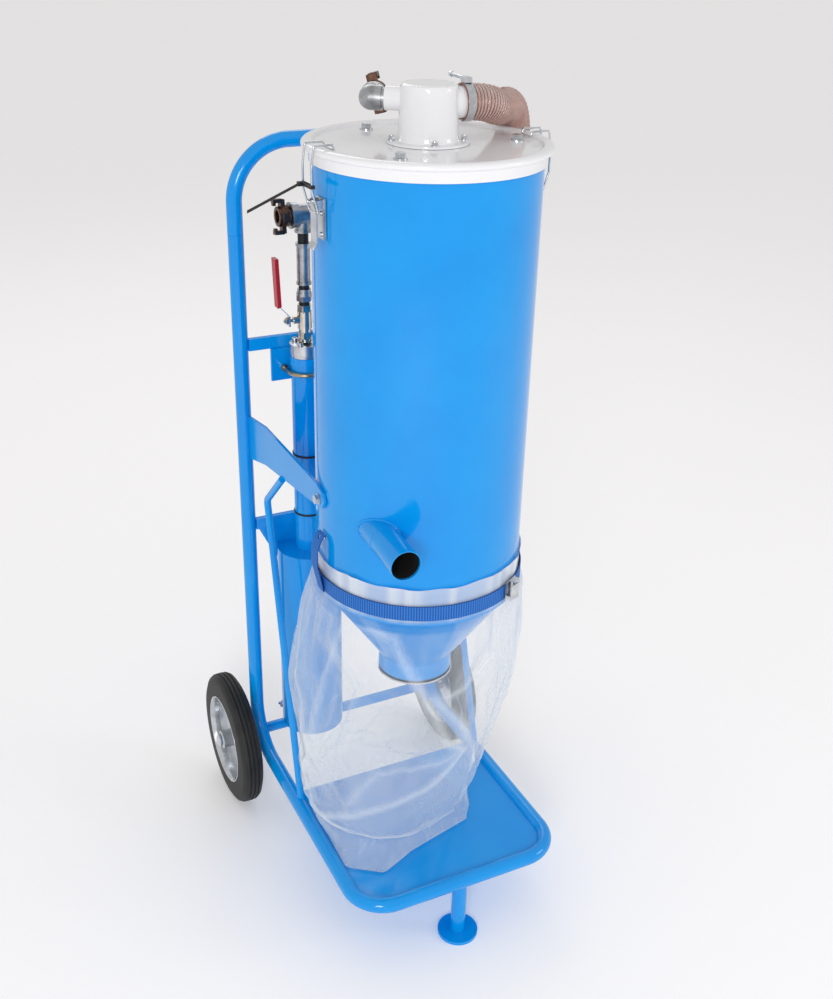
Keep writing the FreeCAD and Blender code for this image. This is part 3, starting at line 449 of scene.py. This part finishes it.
# Turned aluminium: pale silver with a fine even grain.
turned_aluminium = metal("turned_aluminium", "#D2D3D6", 0.28, 0.5, 0.12, "#AEAFB3")
for node in ("galvanised_fittings", "purge_elbow"):
    dress(node, galvanised, 0.6)
for node in ("air_coupling", "purge_coupling", "ejector_nozzle"):
    dress(node, cast_brass, 0.6)
dress("black_nipples", black_pipe, 0.3)
for node in ("valve_body", "valve_ball"):
    dress(node, nickel, 0.4)
dress("valve_lever", zinc_plate, 0.4)
# Dipped vinyl: smooth strong red with a soft shine.
red_vinyl = material("red_dipped_vinyl", "#B5121B", Roughness=0.35, IOR=1.53)
dress("lever_sleeve", red_vinyl, 1.2)


# ---- Ejector and silencer ----
# An enamelled steel tube with a turned aluminium head, held to the frame by a U-bolt. It stands
# in a welded can packed with foam, which quietens the air.

for node in ("ejector_tube", "silencer_can"):
    dress(node, blue_enamel, 0.5)
dress("ejector_head", turned_aluminium, 0.5)
# Zinc with a yellow passivated skin: pale gold and slightly dull.
yellow_zinc = metal("yellow_passivated_zinc", "#B9A88C", 0.3, 1.0, 0.15, "#8E7D63")
dress("u_bolt", yellow_zinc, 0.4)
dress("bolts", zinc_plate, 0.4)
# Open foam: dark grey, with no shine at all.
foam = material("grey_foam", "#2A2A2C", Roughness=0.95)
dress("silencer_foam", foam, 0.0)
dress("hose_clamps", zinc_plate, 0.4)


# ---- Latches ----
# Two over-centre latches with wire bails pull the lid down on its gasket. A cable tie round the
# left bail keeps it from being opened by mistake.

for node in ("latch_bases", "latch_lever_left", "latch_lever_right", "bail_left", "bail_right"):
    dress(node, zinc_plate, 0.3)
# Moulded nylon: black with a satin shine.
black_nylon = material("black_nylon", "#131314", Roughness=0.4, IOR=1.53)
dress("cable_tie", black_nylon, 0.2)


# ---- Belt and buckle ----
# A blue webbing belt with a steel cam buckle holds the bag's mouth to the drum. Two webbing loops
# hung on studs keep the belt up when the bag is off.

# Woven polyester: ribs across the belt, each crossed by threads, with a soft sheen. Both are about
# twice as coarse as the real ones, so that they show. Their colour follows their height: painted
# shade in the grooves and a painted highlight on the ribs' tops.
blue_webbing = material("blue_polyester_webbing", "#1163BC", Roughness=0.7)
where = add(blue_webbing, "TexCoord", {})
split = add(blue_webbing, "SeparateXYZ", {}, Vector=where.outputs["Object"])
from_axis = add(blue_webbing, "Math", {"operation": "ADD", 1: -FOOTPRINT_SHIFT.y}, _0=split.outputs["Y"])
bearing = add(blue_webbing, "Math", {"operation": "ARCTAN2"}, _0=from_axis.outputs["Value"],
              _1=split.outputs["X"])
belt_radius_mm, rib_mm, thread_mm = 164, 4.0, 2.4
rib_count = 2 * math.pi * belt_radius_mm / rib_mm
turns = add(blue_webbing, "Math", {"operation": "MULTIPLY", 1: rib_count}, _0=bearing.outputs["Value"])
ribs = add(blue_webbing, "Math", {"operation": "SINE"}, _0=turns.outputs["Value"])
rows = add(blue_webbing, "Math", {"operation": "MULTIPLY", 1: 2 * math.pi / (thread_mm / 1000)},
           _0=split.outputs["Z"])
threads = add(blue_webbing, "Math", {"operation": "SINE"}, _0=rows.outputs["Value"])
weave = add(blue_webbing, "Math", {"operation": "MULTIPLY_ADD", 1: 0.35}, _0=threads.outputs["Value"],
            _2=ribs.outputs["Value"])
weave_height_shade = add(blue_webbing, "MapRange", {"From Min": -1.3, "From Max": 1.3},
                  Value=weave.outputs["Value"])
# Dark in the weave's low grooves as painted shade, light on its high ribs as a painted highlight.
tone = add(blue_webbing, "ValToRGB", {"stops": ((0.0, "#06418C"), (0.55, "#0F62BC"), (1.0, "#2F86DA"))},
           Fac=weave_height_shade.outputs["Result"])
feed(blue_webbing, "Base Color", tone.outputs["Color"])
bump = add(blue_webbing, "Bump", {"Strength": 0.6, "Distance": 0.0006},
           Height=weave_height_shade.outputs["Result"])
feed(blue_webbing, "Normal", bump.outputs["Normal"])
dress("strap", blue_webbing, 0.0)
dress("strap_loops", blue_webbing, 0.0)
dress("buckle_frame", zinc_plate, 0.3)
dress("buckle_lever", zinc_plate, 0.3)


# ---- Film bag ----
# A tube of clear polythene film, welded flat across its bottom. Its mouth is gathered over the
# drum's bead under the belt, and the rest hangs slack and slumps on the tray.

# Clear polythene: a thin glossy skin that turns milky white where it is creased or seen edge on.
film = material("clear_polythene_film", "#E4EBF1", Roughness=0.16, IOR=1.5)
where = add(film, "TexCoord", {})
crumple_mm = 62.5
crumple = add(film, "TexNoise", {"Scale": 1000 / crumple_mm, "Detail": 2.0, "Distortion": 0.5},
              Vector=where.outputs["Object"])
crease_height = add(film, "MapRange", {"From Min": 0.35, "From Max": 0.65}, Value=crumple.outputs["Fac"])
bump = add(film, "Bump", {"Strength": 0.22, "Distance": 0.004}, Height=crease_height.outputs["Result"])
feed(film, "Normal", bump.outputs["Normal"])
edge_on = add(film, "LayerWeight", {"Blend": 0.22}, Normal=bump.outputs["Normal"])
haze = add(film, "Attribute", {"attribute_name": "haze"})
film_share = add(film, "Math", {"operation": "MULTIPLY_ADD", 1: 0.7, "use_clamp": True},
                 _0=edge_on.outputs["Facing"], _2=haze.outputs["Fac"])
feed(film, "Alpha", film_share.outputs["Value"])

around = 180
neck_end, body_end, body_rows = 603, 165, 84
tray_rest = 0.131
rng = random.Random(7)
pleats = [(rng.uniform(0, 2 * math.pi), rng.uniform(0.04, 0.10), rng.uniform(0.4, 1.0)) for _ in range(34)]


def pleat_height(angle):
    """How far the gathered film stands out, from 0 to 1, at an angle round the drum."""
    total = 0.0
    for middle, half_width, size in pleats:
        gap = abs((angle - middle + math.pi) % (2 * math.pi) - math.pi)
        total += size * max(0.0, 1 - gap / half_width)
    return min(total, 1.6)


# How far in mm the slack film reaches from the drum's axis, every 45 degrees from the right-hand
# side by way of the back, at each height in mm.
bag_reach = [
    (603, (171, 171, 171, 171, 171, 171, 171, 171)),
    (568, (173, 172, 172, 182, 187, 182, 176, 173)),
    (490, (167, 166, 170, 194, 203, 190, 178, 170)),
    (420, (150, 152, 165, 198, 212, 192, 170, 153)),
    (307, (124, 132, 150, 182, 196, 178, 150, 130)),
    (200, (104, 116, 134, 172, 194, 160, 112, 110)),
    (165, (98, 110, 126, 166, 186, 138, 84, 106))]
# The folded end that lies on the tray, as corners in mm from the axis.
tray_fold = [(98, 10), (70, 105), (-60, 120), (-163, 50), (-168, -100), (-114, -139), (-55, -112),
             (70, -80)]
# Sharp folds in the film: points of bearing in degrees and height in mm, then the fold's rise and
# half-width in mm.
folds = [
    (((-154, 618), (-159, 529), (-168, 379)), 5, 9),
    (((-146, 605), (-127, 593), (-116, 524), (-99, 400), (-87, 371)), 7, 12),
    (((-107, 495), (-90, 423), (-69, 292)), 7, 14),
    (((-87, 371), (-111, 302), (-141, 255), (-166, 209)), 7, 13),
    (((178, 470), (-174, 434), (-176, 330), (172, 260)), 5, 12),
    (((-74, 540), (-91, 501), (-106, 491)), 5, 10),
    (((-150, 267), (-134, 348), (-112, 359), (-87, 371)), 4, 12),
    (((-40, 590), (-48, 500), (-38, 380), (-50, 280)), 5, 13),
    (((60, 590), (48, 470), (66, 330), (50, 210)), 5, 15),
    (((110, 590), (125, 430), (104, 300), (120, 190)), 6, 14),
    (((20, 560), (8, 430), (24, 300)), 5, 14),
    (((-178, 206), (-166, 200), (-153, 187), (-110, 178), (-67, 168)), 7, 9)]


def fold_rise(bearing, height):
    """How far the sharp folds lift the film, in mm."""
    mm_per_degree = 2.9
    rise = 0.0
    for line, lift, half_width in folds:
        nearest = 1000.0
        for (b0, z0), (b1, z1) in zip(line, line[1:]):
            b0 += 360 * round((bearing - b0) / 360)
            b1 += 360 * round((b0 - b1) / 360)
            x0, x1 = (b0 - bearing) * mm_per_degree, (b1 - bearing) * mm_per_degree
            span = (x1 - x0) ** 2 + (z1 - z0) ** 2
            share = max(0.0, min(1.0, (-x0 * (x1 - x0) + (height - z0) * (z1 - z0)) / span))
            nearest = min(nearest, math.hypot(x0 + share * (x1 - x0), z0 + share * (z1 - z0) - height))
        rise = max(rise, lift * max(0.0, 1 - nearest / half_width))
    return rise


def smooth_reach(values, bearing):
    """A smooth closed line through eight reaches, at a bearing in degrees."""
    place = (bearing / 45) % 8
    i, t = int(place), place - int(place)
    p0, p1, p2, p3 = (values[(i + k) % 8] for k in (-1, 0, 1, 2))
    return p1 + 0.5 * t * (p2 - p0 + t * (2 * p0 - 5 * p1 + 4 * p2 - p3 + t * (3 * (p1 - p2) + p3 - p0)))


def fold_edge(bearing):
    """How far the folded end on the tray reaches at a bearing in degrees."""
    c, d = math.cos(math.radians(bearing)), math.sin(math.radians(bearing))
    best = 0.0
    for (x0, y0), (x1, y1) in zip(tray_fold, tray_fold[1:] + tray_fold[:1]):
        cross = c * (y1 - y0) - d * (x1 - x0)
        if abs(cross) > 1e-9:
            reach = (x0 * (y1 - y0) - y0 * (x1 - x0)) / cross
            share = (c * reach - x0) * (x1 - x0) + (d * reach - y0) * (y1 - y0)
            if reach > 0 and -1e-6 <= share <= (x1 - x0) ** 2 + (y1 - y0) ** 2 + 1e-6:
                best = max(best, reach)
    return best


# The film's points with how firmly each is held and how milky it is, row by row from the top. The
# neck's rows have a height, a distance from the axis and the height of the pleats.
bag_vertices, held_share, haziness = [], [], []
neck_levels = [(672, 163.2, 1.6), (668, 162.0, 1.2), (660, 161.6, 1.0), (650, 161.3, 0.8),
               (643, 161.1, 0.5), (630, 161.1, 0.4), (618, 161.4, 0.5), (613, 168.5, 0.8),
               (608, 170.2, 1.0), (603, 170.0, 1.6)]
for level, radius, rise in neck_levels:
    for k in range(around):
        angle = 2 * math.pi * k / around
        lift = 5 * noise.noise(Vector((3 * math.cos(angle), 3 * math.sin(angle), 1))) if level > 645 else 0
        reach = radius + rise * pleat_height(angle)
        bag_vertices.append(at(reach * math.cos(angle), reach * math.sin(angle), level + lift))
        held_share.append(1.0)
        haziness.append(0.05 if level < 615 else 0.42 + 0.25 * min(1.0, pleat_height(angle)))


def ledge(bearing):
    """The height at which the hanging film turns over onto the tray: higher on the left."""
    return 163 + 20 * math.cos(math.radians(bearing - 165)) + 7 * math.sin(math.radians(3 * bearing))


for row in range(1, body_rows + 1):
    for k in range(around):
        bearing = 360.0 * k / around
        angle = math.radians(bearing)
        height = neck_end - (neck_end - ledge(bearing)) * row / body_rows
        level = neck_end - (neck_end - body_end) * row / body_rows
        below_neck = neck_end - height
        upper = max(i for i in range(len(bag_reach) - 1) if bag_reach[i][0] >= level)
        (z0, high), (z1, low) = bag_reach[upper], bag_reach[upper + 1]
        share = (z0 - level) / (z0 - z1)
        reach = smooth_reach(high, bearing) * (1 - share) + smooth_reach(low, bearing) * share
        gathers = max(0.0, 1 - below_neck / 130)
        reach += 4.0 * pleat_height(angle) * gathers * min(1.0, below_neck / 20)
        spot = Vector((reach * math.cos(angle) / 46, reach * math.sin(angle) / 46, height / 80))
        sharp = fold_rise(bearing, height)
        rough = 0.3 - abs(noise.noise(spot))
        fine = 0.3 - abs(noise.noise(spot * 2.3))
        reach += min(1.0, below_neck / 60) * (sharp - 3 + 9 * rough + 2 * fine)
        x, y = reach * math.cos(angle), reach * math.sin(angle)
        # On the left the brace rod stands behind the film and holds it forward.
        if x < -150:
            y = min(y, 75 + 0.15 * (height - 136))
        bag_vertices.append(at(x, y, height))
        held_share.append(max(0.0, 0.8 - below_neck / 14))
        haziness.append(0.10 + 0.04 * sharp + 0.35 * max(0.0, rough - 0.22) + 0.05 * gathers)

# The flap that folds over onto the tray, and then the film under it, back to the middle.
last_body = bag_reach[-1][1]
tray_skin = 132
for share in (0.25, 0.45, 0.62, 0.78, 0.9, 1.0, 0.99):
    for k in range(around):
        bearing = 360.0 * k / around
        angle = math.radians(bearing)
        reach = smooth_reach(last_body, bearing) * (1 - share) + fold_edge(bearing) * share
        height = 133 + (ledge(bearing) - 133) * (1 - share) ** 1.6
        spot = Vector((reach * math.cos(angle) / 24, reach * math.sin(angle) / 24, 2.0))
        rough = 0.35 - abs(noise.noise(spot))
        ripple = 12 * rough * math.sin(math.pi * min(1.0, share + 0.1))
        bag_vertices.append(at(reach * math.cos(angle), reach * math.sin(angle), height + max(-2, ripple)))
        held_share.append(0.5)
        haziness.append(0.16 + 0.6 * max(0.0, rough - 0.22))
for shrink in (0.85, 0.6, 0.3):
    for k in range(around):
        bearing = 360.0 * k / around
        reach = fold_edge(bearing) * shrink
        angle = math.radians(bearing)
        bag_vertices.append(at(reach * math.cos(angle), reach * math.sin(angle), tray_skin))
        held_share.append(0.9)
        haziness.append(0.15)
levels = len(bag_vertices) // around
bag_faces = [(a * around + k, a * around + (k + 1) % around, (a + 1) * around + (k + 1) % around,
              (a + 1) * around + k) for a in range(levels - 1) for k in range(around)]
bag_vertices.append(at(-10, -10, tray_skin))
held_share.append(0.9)
haziness.append(0.15)
last = (levels - 1) * around
bag_faces += [(last + k, last + (k + 1) % around, last + around) for k in range(around)]
bag_mesh = smooth_mesh("film_bag", bag_vertices, bag_faces, film)
bag_mesh.attributes.new("haze", "FLOAT", "POINT").data.foreach_set("value", haziness)

# The film then settles for a moment under its own weight, against the cone and the tray.
settling_frames, most_move = 26, 0.022

def collider(name, vertices, faces):
    """A wall that the film can't pass through while it settles."""
    mesh = bpy.data.meshes.new(name)
    mesh.from_pydata([tuple(v) for v in vertices], [], faces)
    wall = bpy.data.objects.new(name, mesh)
    bpy.context.scene.collection.objects.link(wall)
    wall.modifiers.new("collision", "COLLISION")
    wall.collision.thickness_outer = 0.001
    wall.collision.cloth_friction = 12
    return wall

draft = bpy.data.objects.new("bag_draft", bag_mesh)
bpy.context.scene.collection.objects.link(draft)
held = draft.vertex_groups.new(name="held")
for i, weight in enumerate(held_share):
    if weight > 0:
        held.add([i], weight, "REPLACE")
cloth = draft.modifiers.new("cloth", "CLOTH")
cloth.settings.quality = 6
cloth.settings.mass = 0.03
cloth.settings.air_damping = 2.0
cloth.settings.tension_stiffness = 30
cloth.settings.compression_stiffness = 30
cloth.settings.shear_stiffness = 15
cloth.settings.bending_stiffness = 0.25
cloth.settings.shrink_min = cloth.settings.shrink_max = -0.02
cloth.settings.vertex_group_mass = "held"
cloth.settings.effector_weights.gravity = 0.35
cloth.collision_settings.collision_quality = 2
cloth.collision_settings.distance_min = 0.001
cloth.collision_settings.use_self_collision = False
corners = [at(-168, -190, 129.5), at(168, -190, 129.5), at(168, 200, 129.5), at(-168, 200, 129.5)]
tray_wall = collider("tray_wall", corners, [(0, 1, 2, 3)])
cone_rings, cone_sides = [(158, 604), (60, 466), (60, 438)], 36
cone_turns = [2 * math.pi * k / cone_sides for k in range(cone_sides)]
ring_points = [at(r * math.cos(turn), r * math.sin(turn), z)
               for r, z in cone_rings for turn in cone_turns]
cone_faces = [(low + k, low + cone_sides + k, low + cone_sides + (k + 1) % cone_sides,
               low + (k + 1) % cone_sides) for low in (0, cone_sides) for k in range(cone_sides)]
cone_wall = collider("cone_wall", ring_points, cone_faces)
scene = bpy.context.scene
cloth.point_cache.frame_start, cloth.point_cache.frame_end = 1, 30
for moment in range(1, settling_frames + 1):
    scene.frame_set(moment)
settled = draft.evaluated_get(bpy.context.evaluated_depsgraph_get())
shaped = [v.co.copy() for v in settled.data.vertices]
for wall in (tray_wall, cone_wall, draft):
    bpy.data.objects.remove(wall)
scene.frame_set(1)
for vertex, place, start in zip(bag_mesh.vertices, shaped, bag_vertices):
    move = place - start
    if move.length > most_move:
        move = move.normalized() * most_move
    place = start + move
    vertex.co = (max(-0.225, min(0.215, place.x)), place.y, max(tray_rest, place.z))
bag_mesh.update()

bag = link_object("film_bag", bag_mesh, "machine")
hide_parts("bag")
rounder = bag.modifiers.new("rounder", "SUBSURF")
rounder.levels = rounder.render_levels = 1
